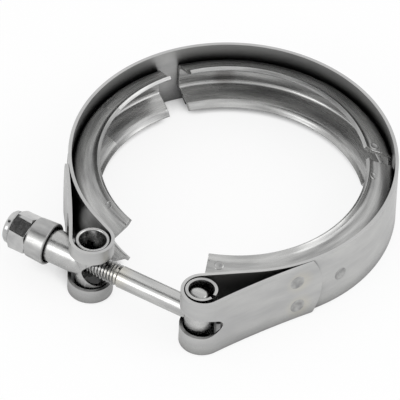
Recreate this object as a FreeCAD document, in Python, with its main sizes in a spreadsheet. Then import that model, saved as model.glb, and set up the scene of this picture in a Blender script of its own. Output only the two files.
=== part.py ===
import FreeCAD, Part
import Sketcher
import math
import os

# V band clamp with a T bolt. One steel strip is closed round a ring; both of its ends fold back
# outwards into loops and are welded down on the strip's own outside. The strip carries three
# V retainers inside. A T bolt is hooked into one loop by its rolled tube, passes a trunnion in
# the other loop and is drawn tight by a collar and a lock nut.
# Frame: +Z is the ring's axis, the origin is the ring's centre at mid height, the bolt runs
# along X on the -Y side, with its T end at +X and its nut at -X. Millimetres and degrees.

SIZES = [
    ("band_radius", 59.0, "outer radius of the closed strip"),
    ("band_width", 24.5, "width of the strip along the ring's axis"),
    ("band_thickness", 1.2, "thickness of the strip"),
    ("loop_bore", 13.8, "inside diameter of both loops"),
    ("loop_spacing", 46.4, "distance between the two loop centres"),
    ("bolt_offset", 3.4, "how far the middle of the two loops stands towards the T end"),
    ("inner_leg_length", 7.49, "straight run of the strip from the ring to the nut end's loop"),
    ("leg_bow_radius", 320.0, "radius of the slight inward bow of each folded leg"),
    ("lap_gap", 0.15, "clearance between the folded leg and the strip under it"),
    ("lap_angle", 3.5, "how far each folded leg follows the ring before its free end"),
    ("lap_end_radius", 24.0, "rounding of the free ends, seen square on"),
    ("weld_diameter", 5.0, "diameter of the spot welds"),
    ("weld_spread", 11.6, "distance between the two spot welds of one leg"),
    ("weld_setback", 6.5, "distance of the leg's spot welds from its free end, in degrees"),
    ("bolt_window_height", 8.8, "height of the window in the T end's loop"),
    ("bolt_window_reach", 8.7, "how far that window runs past the loop's centre"),
    ("sleeve_window_height", 13.2, "height of the window in the nut end's loop"),
    ("sleeve_window_reach", 19.5, "how far that window runs past the loop's centre"),
    ("inner_window_reach", 6.5, "how far both windows run past the loop's centre on the ring side"),
    ("retainer_thickness", 1.5, "sheet thickness of the V retainers"),
    ("retainer_fit", 0.05, "clearance between the strip and a retainer's web"),
    ("web_half_height", 5.6, "half height of the web that lies on the strip"),
    ("leg_angle", 21.0, "slope of the V legs from the flange plane"),
    ("v_depth", 10.35, "how far the V reaches in from the web's outside to its tips"),
    ("lip_length", 3.2, "radial length of the flared lip at each tip"),
    ("lip_angle", 38.0, "slope of the flared lip"),
    ("web_bend_radius", 1.0, "inside radius of the bends between web and legs"),
    ("lip_bend_radius", 2.0, "inside radius of the bends between legs and lips"),
    ("left_from", 149.5, "direction of the left retainer's rear end"),
    ("left_to", 252.5, "direction of the left retainer's front end"),
    ("rear_from", 40.5, "direction of the rear retainer's right end"),
    ("rear_to", 142.0, "direction of the rear retainer's left end"),
    ("right_from", -68.8, "direction of the right retainer's front end"),
    ("right_to", 35.4, "direction of the right retainer's rear end"),
    ("web_reach", 2.4, "how much further the web reaches than the lips at the rear retainer's ends"),
    ("bolt_diameter", 8.0, "shank diameter of the T bolt"),
    ("thread_diameter", 7.9, "outside diameter of the threaded stretch"),
    ("thread_length", 48.0, "length of the threaded stretch from the bolt's end"),
    ("bolt_end_setback", 1.0, "how far inside the nut's crown the bolt's end stands at rest"),
    ("bolt_end_chamfer", 0.8, "chamfer at the bolt's free end"),
    ("tube_diameter", 11.6, "outside diameter of the T tube"),
    ("tube_wall", 1.3, "wall of the T tube"),
    ("tube_seam_width", 1.6, "open seam of the rolled T tube"),
    ("tube_seam_angle", -42.0, "direction of the open seam round the tube's axis"),
    ("tube_setback", 0.25, "how far T tube and trunnion barrel end inside the strip's edges"),
    ("bolt_hole_clearance", 0.06, "radial clearance of the shank in the tube's wall"),
    ("bolt_head_diameter", 8.8, "diameter of the bolt's upset head inside the tube"),
    ("bolt_head_reach", 1.2, "how far the head stands past the tube's middle, measured from it"),
    ("bolt_head_clearance", 0.05, "clearance between the head and the inside of the tube"),
    ("seat_gap", 0.3, "clearance between a tube and the loop that it pulls on"),
    ("barrel_diameter", 12.4, "outside diameter of the trunnion barrel"),
    ("barrel_bore", 9.6, "bore of the trunnion barrel"),
    ("sleeve_diameter", 12.3, "outside diameter of the trunnion's sleeve"),
    ("sleeve_clearance", 0.5, "radial clearance of the bolt in the sleeve"),
    ("sleeve_length", 19.9, "length of the sleeve from the barrel's axis to its free end"),
    ("sleeve_blend", 1.5, "rounding between the barrel and the sleeve"),
    ("collar_diameter", 14.9, "outside diameter of the collar"),
    ("collar_length", 7.45, "length of the collar"),
    ("collar_recess_depth", 2.4, "depth of the collar's recess over the sleeve's end"),
    ("collar_recess_clearance", 0.45, "radial clearance of the recess round the sleeve"),
    ("collar_bore_clearance", 0.3, "radial clearance of the bolt in the collar"),
    ("collar_edge", 0.5, "rounding of the collar's outer edges"),
    ("end_play", 0.02, "axial clearance between trunnion, collar and nut"),
    ("nut_across_flats", 13.0, "width of the nut across its flats"),
    ("nut_hex_length", 7.9, "length of the nut's hexagon"),
    ("nut_crown_diameter", 12.4, "diameter of the nut's round locking crown"),
    ("nut_crown_length", 3.2, "length of the nut's round locking crown"),
    ("nut_crown_edge", 1.4, "rounding of the crown's outer edge"),
    ("nut_turn", 14.0, "turn of the nut on the bolt at rest"),
    ("thread_clearance", 0.05, "radial clearance between the thread and the nut's bore"),
]

document = FreeCAD.newDocument("VBandClamp")
sheet = document.addObject("Spreadsheet::Sheet", "Sizes")
for row, (alias, value, meaning) in enumerate(SIZES, start=1):
    sheet.set("A%d" % row, alias)
    sheet.set("B%d" % row, str(value))
    sheet.set("C%d" % row, meaning)
    sheet.setAlias("B%d" % row, alias)
document.recompute()


def size(alias):
    return float(sheet.get(alias))


def unit(angle):
    return FreeCAD.Vector(math.cos(math.radians(angle)), math.sin(math.radians(angle)), 0)


def angle_of(vector):
    return math.degrees(math.atan2(vector.y, vector.x))


def bind(item, **expressions):
    for name, expression in expressions.items():
        item.setExpression(name, expression)


def primitive(kind, name, **expressions):
    item = document.addObject("Part::" + kind, name)
    bind(item, **expressions)
    return item


def place(item, **expressions):
    for axis, expression in expressions.items():
        item.setExpression(".Placement.Base." + axis, expression)


def turn(item, axis, angle):
    item.Placement = FreeCAD.Placement(FreeCAD.Vector(0, 0, 0), FreeCAD.Rotation(axis, angle))


def combine(kind, name, first, second):
    item = document.addObject("Part::" + kind, name)
    item.Base = first
    item.Tool = second
    return item


def fuse_all(name, pieces):
    item = document.addObject("Part::MultiFuse", name)
    item.Shapes = pieces
    return item


def new_body(name):
    body = document.addObject("PartDesign::Body", name)
    body.Label = name
    return body


def origin_plane(body, role):
    return [item for item in body.Origin.OriginFeatures if item.Role == role][0]


def body_sketch(body, name, role):
    sketch = body.newObject("Sketcher::SketchObject", name)
    sketch.AttachmentSupport = [(origin_plane(body, role), "")]
    sketch.MapMode = "FlatFace"
    return sketch


def dimension(sketch, name, expression, *constraint):
    index = sketch.addConstraint(Sketcher.Constraint(*constraint))
    sketch.renameConstraint(index, name)
    sketch.setExpression("Constraints." + name, expression)


def closed_outline(sketch, corners):
    first = sketch.GeometryCount
    count = len(corners)
    for index in range(count):
        start = FreeCAD.Vector(*corners[index], 0)
        end = FreeCAD.Vector(*corners[(index + 1) % count], 0)
        sketch.addGeometry(Part.LineSegment(start, end))
    for index in range(count):
        following = first + (index + 1) % count
        sketch.addConstraint(Sketcher.Constraint("Coincident", first + index, 2, following, 1))
    return first


# The strip. Its middle line is drawn once for each half, from the rear of the ring, round the
# ring, over the straight inner leg, round the loop, and back along the bowed outer leg to the
# free end, which lies on the ring again.

RING_LINE = "Sizes.band_radius - Sizes.band_thickness / 2"
LOOP_LINE = "Sizes.loop_bore / 2 + Sizes.band_thickness / 2"
LAP_LINE = "Sizes.band_radius + Sizes.band_thickness / 2 + Sizes.lap_gap"

ring_line = size("band_radius") - size("band_thickness") / 2
loop_line = size("loop_bore") / 2 + size("band_thickness") / 2
lap_line = size("band_radius") + size("band_thickness") / 2 + size("lap_gap")
bow = size("leg_bow_radius")


def loop_x(side):
    return side * size("loop_spacing") / 2 + size("bolt_offset")


def loop_x_expression(side):
    return "%d * Sizes.loop_spacing / 2 + Sizes.bolt_offset" % side


# Both loop centres and the bolt lie this far in front of the ring's axis. It follows from the
# straight inner leg, which touches the ring and the nut end's loop on opposite sides.

LOOP_REACH = "sqrt((%s + %s) ^ 2 + Sizes.inner_leg_length ^ 2 - (%s) ^ 2)" % (
    RING_LINE, LOOP_LINE, loop_x_expression(-1)
)

loop_reach = math.sqrt((ring_line + loop_line) ** 2 + size("inner_leg_length") ** 2 - loop_x(-1) ** 2)


def strip_angles(side):
    """Directions, from the ring's centre, at which one half of the strip changes its form, for
    the side that holds the loop. The third value is the centre of the bowed leg."""
    loop = FreeCAD.Vector(loop_x(side), -loop_reach, 0)
    leaves_ring = angle_of(loop) + side * math.degrees(math.acos((ring_line + loop_line) / loop.Length))
    to_bow = lap_line + bow
    from_loop = loop_line + bow
    cosine = (loop.Length ** 2 + to_bow ** 2 - from_loop ** 2) / (2 * loop.Length * to_bow)
    meets_ring = angle_of(loop) + side * math.degrees(math.acos(cosine))
    return leaves_ring, meets_ring, unit(meets_ring) * to_bow


def free_end_angle(side):
    return strip_angles(side)[1] + side * size("lap_angle")


def strip_path(side, name):
    """Middle line of one half of the strip, side 1 for the T end and -1 for the nut end."""
    leaves_ring, meets_ring, bow_centre = strip_angles(side)
    loop = FreeCAD.Vector(loop_x(side), -loop_reach, 0)
    centre = FreeCAD.Vector(0, 0, 0)
    up = FreeCAD.Vector(0, 0, 1)
    leaves_loop = angle_of(bow_centre - loop)
    leg_on_loop = loop - unit(leaves_ring) * loop_line

    def arc(middle, radius, low, high):
        circle = Part.Circle(middle, up, radius)
        while high < low:
            high += 360
        return Part.ArcOfCircle(circle, math.radians(low), math.radians(high))

    free_end = free_end_angle(side)
    if side > 0:
        parts = [
            arc(centre, ring_line, leaves_ring, 90),
            Part.LineSegment(unit(leaves_ring) * ring_line, leg_on_loop),
            arc(loop, loop_line, leaves_ring + 180, leaves_loop),
            arc(bow_centre, bow, meets_ring + 180, leaves_loop + 180),
            arc(centre, lap_line, meets_ring, free_end),
        ]
        joints = [(0, 1, 1, 1), (1, 2, 2, 1), (2, 2, 3, 2), (3, 1, 4, 1)]
    else:
        parts = [
            arc(centre, ring_line, 90, leaves_ring),
            Part.LineSegment(unit(leaves_ring) * ring_line, leg_on_loop),
            arc(loop, loop_line, leaves_loop, leaves_ring + 180),
            arc(bow_centre, bow, leaves_loop + 180, meets_ring + 180),
            arc(centre, lap_line, free_end, meets_ring),
        ]
        joints = [(0, 2, 1, 1), (1, 2, 2, 2), (2, 1, 3, 1), (3, 2, 4, 2)]
    open_point = 2 if side > 0 else 1
    sketch = document.addObject("Sketcher::SketchObject", name)
    sketch.addGeometry(parts)
    for joint in joints:
        sketch.addConstraint(Sketcher.Constraint("Tangent", *joint))
    sketch.addConstraint(Sketcher.Constraint("Coincident", 0, 3, -1, 1))
    sketch.addConstraint(Sketcher.Constraint("Coincident", 4, 3, -1, 1))
    sketch.addConstraint(Sketcher.Constraint("PointOnObject", 0, open_point, -2))
    dimension(sketch, "ring", RING_LINE, "Radius", 0, ring_line)
    dimension(sketch, "loop", LOOP_LINE, "Radius", 2, loop_line)
    dimension(sketch, "bow", "Sizes.leg_bow_radius", "Radius", 3, bow)
    dimension(sketch, "lap", LAP_LINE, "Radius", 4, lap_line)
    dimension(sketch, "across", loop_x_expression(side), "DistanceX", 2, 3, loop_x(side))
    dimension(sketch, "reach", "-" + LOOP_REACH, "DistanceY", 2, 3, -loop_reach)
    end = unit(free_end) * lap_line
    sketch.addConstraint(Sketcher.Constraint("DistanceX", 4, open_point, end.x))
    return sketch


def strip_profile():
    """Section of the strip at the rear of the ring, on the plane of Y and Z."""
    sketch = document.addObject("Sketcher::SketchObject", "strip_profile")
    sketch.Placement = FreeCAD.Placement(
        FreeCAD.Vector(0, 0, 0), FreeCAD.Rotation(FreeCAD.Vector(1, 1, 1), 120)
    )
    outer = size("band_radius")
    inner = outer - size("band_thickness")
    half = size("band_width") / 2
    closed_outline(sketch, [(inner, -half), (outer, -half), (outer, half), (inner, half)])
    for line, kind in ((0, "Horizontal"), (1, "Vertical"), (2, "Horizontal"), (3, "Vertical")):
        sketch.addConstraint(Sketcher.Constraint(kind, line))
    dimension(sketch, "outer", "Sizes.band_radius", "DistanceX", -1, 1, 1, 1, outer)
    dimension(sketch, "inner", "Sizes.band_radius - Sizes.band_thickness", "DistanceX", -1, 1, 3, 1, inner)
    dimension(sketch, "top", "Sizes.band_width / 2", "DistanceY", -1, 1, 2, 1, half)
    dimension(sketch, "bottom", "Sizes.band_width / 2", "DistanceY", 0, 1, -1, 1, half)
    return sketch


def free_end_cutter(side):
    """What trims a free end to its rounded outline: a short sector of the lap's own shell with
    a round core, set square to the strip, left out of it."""
    name = "nut_side" if side < 0 else "t_side"
    end = free_end_angle(side)
    spread = math.degrees(size("band_width") / 2 / lap_line)
    outer = primitive(
        "Cylinder", "lap_sector_" + name,
        Radius="Sizes.band_radius + Sizes.band_thickness * 2 + Sizes.lap_gap",
        Height="Sizes.band_width * 1.2",
    )
    outer.Angle = 2 * spread
    start = end - spread
    outer.Placement = FreeCAD.Placement(
        FreeCAD.Vector(0, 0, -0.6 * size("band_width")),
        FreeCAD.Rotation(FreeCAD.Vector(0, 0, 1), start),
    )
    inner = primitive(
        "Cylinder", "under_lap_" + name,
        Radius="Sizes.band_radius + Sizes.lap_gap / 2",
        Height="Sizes.band_width * 1.2",
    )
    place(inner, z="-0.6 * Sizes.band_width")
    shell = combine("Cut", "lap_shell_" + name, outer, inner)
    core = primitive("Cylinder", "lap_core_" + name, Radius="Sizes.lap_end_radius", Height="Sizes.band_radius")
    setback = math.degrees(size("lap_end_radius") / lap_line)
    direction = unit(end - side * setback)
    core.Placement = FreeCAD.Placement(
        direction * (size("band_radius") / 2),
        FreeCAD.Rotation(FreeCAD.Vector(0, 0, 1), direction),
    )
    return combine("Cut", "free_end_" + name, shell, core)


def window(side, wall, reach_alias, height_alias, beyond="0"):
    """Long hole with a round end in a loop, cut along Y. It opens round the loop's closed end.
    Wall 1 is the one on the ring's side, -1 the outer one, which may run on past the bolt's
    line by the length beyond."""
    name = "%s_window_%s" % ("inner" if wall > 0 else "outer", "nut_side" if side < 0 else "t_side")
    half = "Sizes.%s / 2" % height_alias
    depth = "(Sizes.loop_bore / 2 + 2 * Sizes.band_thickness)"
    straight = "(Sizes.%s - %s)" % (reach_alias, half)
    middle_x = loop_x_expression(side)
    lower = "-" + LOOP_REACH if wall > 0 else "-%s - %s" % (LOOP_REACH, depth)
    middle = primitive(
        "Box", name + "_middle", Length="%s + %s" % (straight, depth), Width=depth, Height="Sizes." + height_alias
    )
    if side > 0:
        place(middle, x="%s - %s" % (middle_x, depth), y=lower, z="-" + half)
    else:
        place(middle, x="%s - %s" % (middle_x, straight), y=lower, z="-" + half)
    end = primitive("Cylinder", name + "_end", Radius=half, Height="%s + %s" % (depth, beyond))
    turn(end, FreeCAD.Vector(1, 0, 0), -90)
    place(end, x="%s %s %s" % (middle_x, "+" if side > 0 else "-", straight), y=lower)
    pieces = [middle, end]
    if size(reach_alias) - size(height_alias) / 2 > size("loop_bore") / 2 and beyond != "0":
        run = primitive(
            "Box", name + "_run", Length=straight + " - Sizes.loop_bore / 2",
            Width=beyond, Height="Sizes." + height_alias,
        )
        start = "%s - %s" % (middle_x, straight) if side < 0 else middle_x + " + Sizes.loop_bore / 2"
        place(run, x=start, y="-" + LOOP_REACH, z="-" + half)
        pieces.append(run)
    if beyond == "0":
        return pieces
    ring = primitive("Cylinder", name + "_ring", Radius="Sizes.band_radius + Sizes.lap_gap / 2")
    bind(ring, Height="Sizes.band_width")
    place(ring, z="-Sizes.band_width / 2")
    return [combine("Cut", name, fuse_all(name + "_whole", pieces), ring)]


def spot_weld(name, angle, height, inner_expression, length_expression):
    """Weld nugget, a short round pin that joins two sheets along the ring's radius."""
    nugget = primitive("Cylinder", name, Radius="Sizes.weld_diameter / 2", Height=length_expression)
    direction = unit(angle)
    nugget.Placement = FreeCAD.Placement(
        direction * inner_expression + FreeCAD.Vector(0, 0, height),
        FreeCAD.Rotation(FreeCAD.Vector(0, 0, 1), direction),
    )
    return nugget


def make_band():
    profile = strip_profile()
    halves = []
    for side, name in ((1, "t_side"), (-1, "nut_side")):
        path = strip_path(side, "strip_path_" + name)
        document.recompute()
        sweep = document.addObject("Part::Sweep", "strip_" + name)
        sweep.Sections = [profile]
        sweep.Spine = (path, ["Edge%d" % number for number in range(1, len(path.Shape.Edges) + 1)])
        sweep.Solid = True
        sweep.Frenet = False
        halves.append(sweep)
    strip = fuse_all("closed_strip", halves)
    cutters = [free_end_cutter(1), free_end_cutter(-1)]
    cutters += window(1, -1, "bolt_window_reach", "bolt_window_height", "Sizes.loop_bore / 4")
    cutters += window(1, 1, "inner_window_reach", "bolt_window_height")
    cutters += window(-1, -1, "sleeve_window_reach", "sleeve_window_height", "Sizes.loop_bore")
    cutters += window(-1, 1, "inner_window_reach", "sleeve_window_height")
    trimmed = combine("Cut", "trimmed_strip", strip, fuse_all("strip_openings", cutters))
    welds = []
    for side in (1, -1):
        angle = free_end_angle(side) - side * size("weld_setback")
        for level in (1, -1):
            welds.append(
                spot_weld(
                    "leg_weld_%d_%d" % (side, level),
                    angle,
                    level * size("weld_spread") / 2,
                    size("band_radius") - size("band_thickness") / 2,
                    "Sizes.band_thickness * 1.5 + Sizes.lap_gap",
                )
            )
    band = fuse_all("welded_band", [trimmed] + welds)
    band.Refine = True
    band.Label = "band"
    return band


# The V retainers. One section, turned about the ring's axis over the retainer's own angle:
# a web on the strip, two legs that close towards it, and a flared lip at each tip.


WEB_RADIUS = "(Sizes.band_radius - Sizes.band_thickness - Sizes.retainer_fit)"
TIP_RADIUS = "(Sizes.band_radius - Sizes.band_thickness - Sizes.retainer_fit - Sizes.v_depth)"

web_radius = size("band_radius") - size("band_thickness") - size("retainer_fit")
tip_radius = web_radius - size("v_depth")


def section_points():
    """Upper half of the section's outside and inside, from the tip to the web, as radius and
    height. The inside is the outside moved by the sheet's thickness, and the tip between them
    is cut off parallel to the ring's axis."""
    rise = math.tan(math.radians(size("leg_angle")))
    flare = math.tan(math.radians(size("lip_angle")))
    bend = tip_radius + size("lip_length")
    bend_height = size("web_half_height") + (web_radius - bend) * rise
    outside = [
        (tip_radius, bend_height + size("lip_length") * flare),
        (bend, bend_height),
        (web_radius, size("web_half_height")),
    ]
    thickness = size("retainer_thickness")
    drop_leg = thickness / math.cos(math.radians(size("leg_angle")))
    half_turn = math.radians((size("lip_angle") - size("leg_angle")) / 2)
    mean = math.radians((size("lip_angle") + size("leg_angle")) / 2)
    inside = [
        (outside[0][0], outside[0][1] - thickness / math.cos(math.radians(size("lip_angle")))),
        (
            bend - thickness * math.sin(mean) / math.cos(half_turn),
            bend_height - thickness * math.cos(mean) / math.cos(half_turn),
        ),
        (web_radius - thickness, size("web_half_height") + thickness * rise - drop_leg),
    ]
    return outside, inside


def retainer_section(body):
    sketch = body_sketch(body, body.Name + "_section", "XZ_Plane")
    outside, inside = section_points()
    below_outside = [(radius, -height) for radius, height in reversed(outside)]
    below_inside = [(radius, -height) for radius, height in inside]
    closed_outline(sketch, outside + below_outside + below_inside + list(reversed(inside)))
    for upper, lower in ((0, 5), (1, 4), (2, 3), (11, 6), (10, 7), (9, 8)):
        sketch.addConstraint(Sketcher.Constraint("Symmetric", upper, 1, lower, 1, -1))
    bend = "(%s + Sizes.lip_length)" % TIP_RADIUS
    bend_height = "Sizes.web_half_height + (%s - %s) * tan(Sizes.leg_angle)" % (WEB_RADIUS, bend)
    tip_height = bend_height + " + Sizes.lip_length * tan(Sizes.lip_angle)"
    dimension(sketch, "web", WEB_RADIUS, "DistanceX", -1, 1, 2, 1, outside[2][0])
    dimension(sketch, "web_height", "Sizes.web_half_height", "DistanceY", -1, 1, 2, 1, outside[2][1])
    dimension(sketch, "bend", bend, "DistanceX", -1, 1, 1, 1, outside[1][0])
    dimension(sketch, "bend_height", bend_height, "DistanceY", -1, 1, 1, 1, outside[1][1])
    dimension(sketch, "tip", TIP_RADIUS, "DistanceX", -1, 1, 0, 1, outside[0][0])
    dimension(sketch, "tip_height", tip_height, "DistanceY", -1, 1, 0, 1, outside[0][1])
    sketch.addConstraint(Sketcher.Constraint("Parallel", 1, 9))
    sketch.addConstraint(Sketcher.Constraint("Parallel", 0, 10))
    sketch.addConstraint(Sketcher.Constraint("Vertical", 11))
    thickness = size("retainer_thickness")
    dimension(sketch, "web_sheet", "Sizes.retainer_thickness", "Distance", 9, 1, 2, thickness)
    dimension(sketch, "leg_sheet", "Sizes.retainer_thickness", "Distance", 10, 1, 1, thickness)
    dimension(sketch, "lip_sheet", "Sizes.retainer_thickness", "Distance", 11, 1, 0, thickness)
    return sketch



def end_cutter(body, name, side, half, half_words):
    """Outline of what is trimmed off one end of a retainer, seen along the ring's axis. It
    starts at the web's end and reaches in further towards the lips."""
    sketch = body_sketch(body, name, "XY_Plane")
    inner = "(%s - 2 * Sizes.retainer_thickness)" % TIP_RADIUS
    radii = [inner, "Sizes.band_radius", "Sizes.band_radius", inner]
    inner_radius = tip_radius - 2 * size("retainer_thickness")
    radius_values = [inner_radius, size("band_radius"), size("band_radius"), inner_radius]
    back = [-size("web_reach"), -size("web_reach"), 0, size("web_reach")]
    back_words = ["-Sizes.web_reach", "-Sizes.web_reach", "0", "Sizes.web_reach"]
    corners = []
    for radius, angle in zip(radius_values, back):
        corner = unit(side * (half - angle)) * radius
        corners.append((corner.x, corner.y))
    closed_outline(sketch, corners)
    for index, (x, y) in enumerate(corners):
        angle = "(%s - (%s))" % (half_words, back_words[index])
        across = "%s * cos(%s)" % (radii[index], angle)
        upward = "%s * sin(%s)" % (radii[index], angle)
        dimension(sketch, "x%d" % index, across, "DistanceX", -1, 1, index, 1, x)
        if side > 0:
            dimension(sketch, "y%d" % index, upward, "DistanceY", -1, 1, index, 1, y)
        else:
            dimension(sketch, "y%d" % index, upward, "DistanceY", index, 1, -1, 1, -y)
    return sketch


def bend_edges(shape, points):
    """Names of the long arc edges that pass the given radius and height pairs."""
    names = []
    for number, edge in enumerate(shape.Edges, start=1):
        middle = edge.valueAt((edge.FirstParameter + edge.LastParameter) / 2)
        radius = math.hypot(middle.x, middle.y)
        for target_radius, target_height in points:
            close = abs(radius - target_radius) < 0.01 and abs(abs(middle.z) - target_height) < 0.01
            if close and edge.Length > size("band_width"):
                names.append("Edge%d" % number)
    return names


def round_bends(body, name, base, points, radius_expression):
    fillet = body.newObject("PartDesign::Fillet", name)
    fillet.Base = (base, bend_edges(base.Shape, points))
    bind(fillet, Radius=radius_expression)
    document.recompute()
    return fillet


def make_retainer(name, low, high, slanted=False):
    """One V retainer between two directions. Its ends are square, or slanted so that the web
    reaches further than the lips."""
    body = new_body(name)
    section = retainer_section(body)
    turned = body.newObject("PartDesign::Revolution", name + "_turned")
    turned.Profile = section
    turned.ReferenceAxis = (section, ["V_Axis"])
    turned.Midplane = True
    bind(turned, Angle="Sizes.%s - Sizes.%s" % (high, low))
    section.Visibility = False
    document.recompute()
    outside, inside = section_points()
    web_inner = "Sizes.web_bend_radius"
    web_outer = "Sizes.web_bend_radius + Sizes.retainer_thickness"
    lip_inner = "Sizes.lip_bend_radius"
    lip_outer = "Sizes.lip_bend_radius + Sizes.retainer_thickness"
    last = round_bends(body, name + "_web_outside", turned, [outside[2]], web_outer)
    last = round_bends(body, name + "_web_inside", last, [inside[2]], web_inner)
    last = round_bends(body, name + "_lip_outside", last, [outside[1]], lip_inner)
    round_bends(body, name + "_lip_inside", last, [inside[1]], lip_outer)
    half = (size(high) - size(low)) / 2
    half_words = "((Sizes.%s - Sizes.%s) / 2)" % (high, low)
    for side, end in ((1, "_high_end"), (-1, "_low_end")) if slanted else ():
        cut = body.newObject("PartDesign::Pocket", name + end)
        cut.Profile = end_cutter(body, name + end + "_outline", side, half, half_words)
        cut.Midplane = True
        bind(cut, Length="Sizes.band_width * 2")
        document.recompute()
    turn(body, FreeCAD.Vector(0, 0, 1), (size(low) + size(high)) / 2)
    body.setExpression(".Placement.Rotation.Angle", "(Sizes.%s + Sizes.%s) / 2" % (low, high))
    return body


# The T end: a rolled tube with an open seam, and the bolt that is upset inside it.

TUBE_X = loop_x_expression(1) + " - (Sizes.loop_bore / 2 - Sizes.tube_diameter / 2 - Sizes.seat_gap)"
BARREL_X = loop_x_expression(-1) + " + (Sizes.loop_bore / 2 - Sizes.barrel_diameter / 2 - Sizes.seat_gap)"
BOLT_Y = "-" + LOOP_REACH
TUBE_LENGTH = "(Sizes.band_width - 2 * Sizes.tube_setback)"
BORE_RADIUS = "(Sizes.tube_diameter / 2 - Sizes.tube_wall)"
COLLAR_FACE_X = "%s - Sizes.sleeve_length + Sizes.collar_recess_depth - Sizes.end_play" % BARREL_X
NUT_FACE_X = "%s - Sizes.collar_length - Sizes.end_play" % COLLAR_FACE_X
NUT_END_X = "%s - Sizes.nut_hex_length - Sizes.nut_crown_length" % NUT_FACE_X


def along_x(item, x):
    turn(item, FreeCAD.Vector(0, 1, 0), 90)
    place(item, x=x, y=BOLT_Y)
    return item


def make_tube():
    height = TUBE_LENGTH
    base = "-%s / 2" % TUBE_LENGTH
    outer = primitive("Cylinder", "tube_outside", Radius="Sizes.tube_diameter / 2", Height=height)
    place(outer, x=TUBE_X, y=BOLT_Y, z=base)
    bore = primitive("Cylinder", "tube_inside", Radius=BORE_RADIUS, Height=height + " * 1.2")
    place(bore, x=TUBE_X, y=BOLT_Y, z=base + " * 1.2")
    seam = primitive(
        "Box", "tube_seam", Length="Sizes.tube_diameter", Width="Sizes.tube_seam_width", Height=height + " * 1.2"
    )
    direction = math.radians(size("tube_seam_angle"))
    turn(seam, FreeCAD.Vector(0, 0, 1), size("tube_seam_angle"))
    place(
        seam,
        x="%s + sin(Sizes.tube_seam_angle) * Sizes.tube_seam_width / 2" % TUBE_X,
        y="%s - cos(Sizes.tube_seam_angle) * Sizes.tube_seam_width / 2" % BOLT_Y,
        z=base + " * 1.2",
    )
    hole = primitive(
        "Cylinder", "tube_bolt_hole",
        Radius="Sizes.bolt_diameter / 2 + Sizes.bolt_hole_clearance", Height="Sizes.tube_diameter",
    )
    along_x(hole, "%s - Sizes.tube_diameter" % TUBE_X)
    tube = combine("Cut", "rolled_tube", outer, fuse_all("tube_openings", [bore, seam, hole]))
    tube.Label = "t_tube"
    return tube


def make_bolt():
    """Shank, thread run and the upset head, which is rounded to the inside of the tube."""
    thread = primitive("Cylinder", "thread_run", Radius="Sizes.thread_diameter / 2", Height="Sizes.thread_length")
    end_x = NUT_END_X + " + Sizes.bolt_end_setback"
    along_x(thread, end_x)
    document.recompute()
    chamfer = document.addObject("Part::Chamfer", "thread_end")
    chamfer.Base = thread
    end_edge = 1
    for number, edge in enumerate(thread.Shape.Edges, start=1):
        if edge.BoundBox.XMax < thread.Shape.BoundBox.XMin + 0.01:
            end_edge = number
    chamfer.Edges = [(end_edge, size("bolt_end_chamfer"), size("bolt_end_chamfer"))]
    shank = primitive(
        "Cylinder", "shank", Radius="Sizes.bolt_diameter / 2",
        Height="%s - (%s) - Sizes.thread_length" % (TUBE_X, end_x),
    )
    along_x(shank, "%s + Sizes.thread_length" % end_x)
    filler = primitive(
        "Cylinder", "head_in_tube", Radius="%s - Sizes.bolt_head_clearance" % BORE_RADIUS, Height=TUBE_LENGTH
    )
    place(filler, x=TUBE_X, y=BOLT_Y, z="-%s / 2" % TUBE_LENGTH)
    upset = primitive(
        "Cylinder", "upset_head", Radius="Sizes.bolt_head_diameter / 2",
        Height="%s + Sizes.bolt_head_reach" % BORE_RADIUS,
    )
    along_x(upset, "%s - %s" % (TUBE_X, BORE_RADIUS))
    head = combine("Common", "rounded_head", filler, upset)
    bolt = fuse_all("whole_bolt", [chamfer, shank, head])
    bolt.Label = "t_bolt"
    return bolt


# The nut end: trunnion, collar and lock nut on the bolt.


def circle_sketch(body, name, role, radius_expression, radius):
    sketch = body_sketch(body, name, role)
    circle = Part.Circle(FreeCAD.Vector(0, 0, 0), FreeCAD.Vector(0, 0, 1), radius)
    sketch.addGeometry(circle)
    sketch.addConstraint(Sketcher.Constraint("Coincident", 0, 3, -1, 1))
    dimension(sketch, "round", radius_expression, "Radius", 0, radius)
    return sketch


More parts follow.
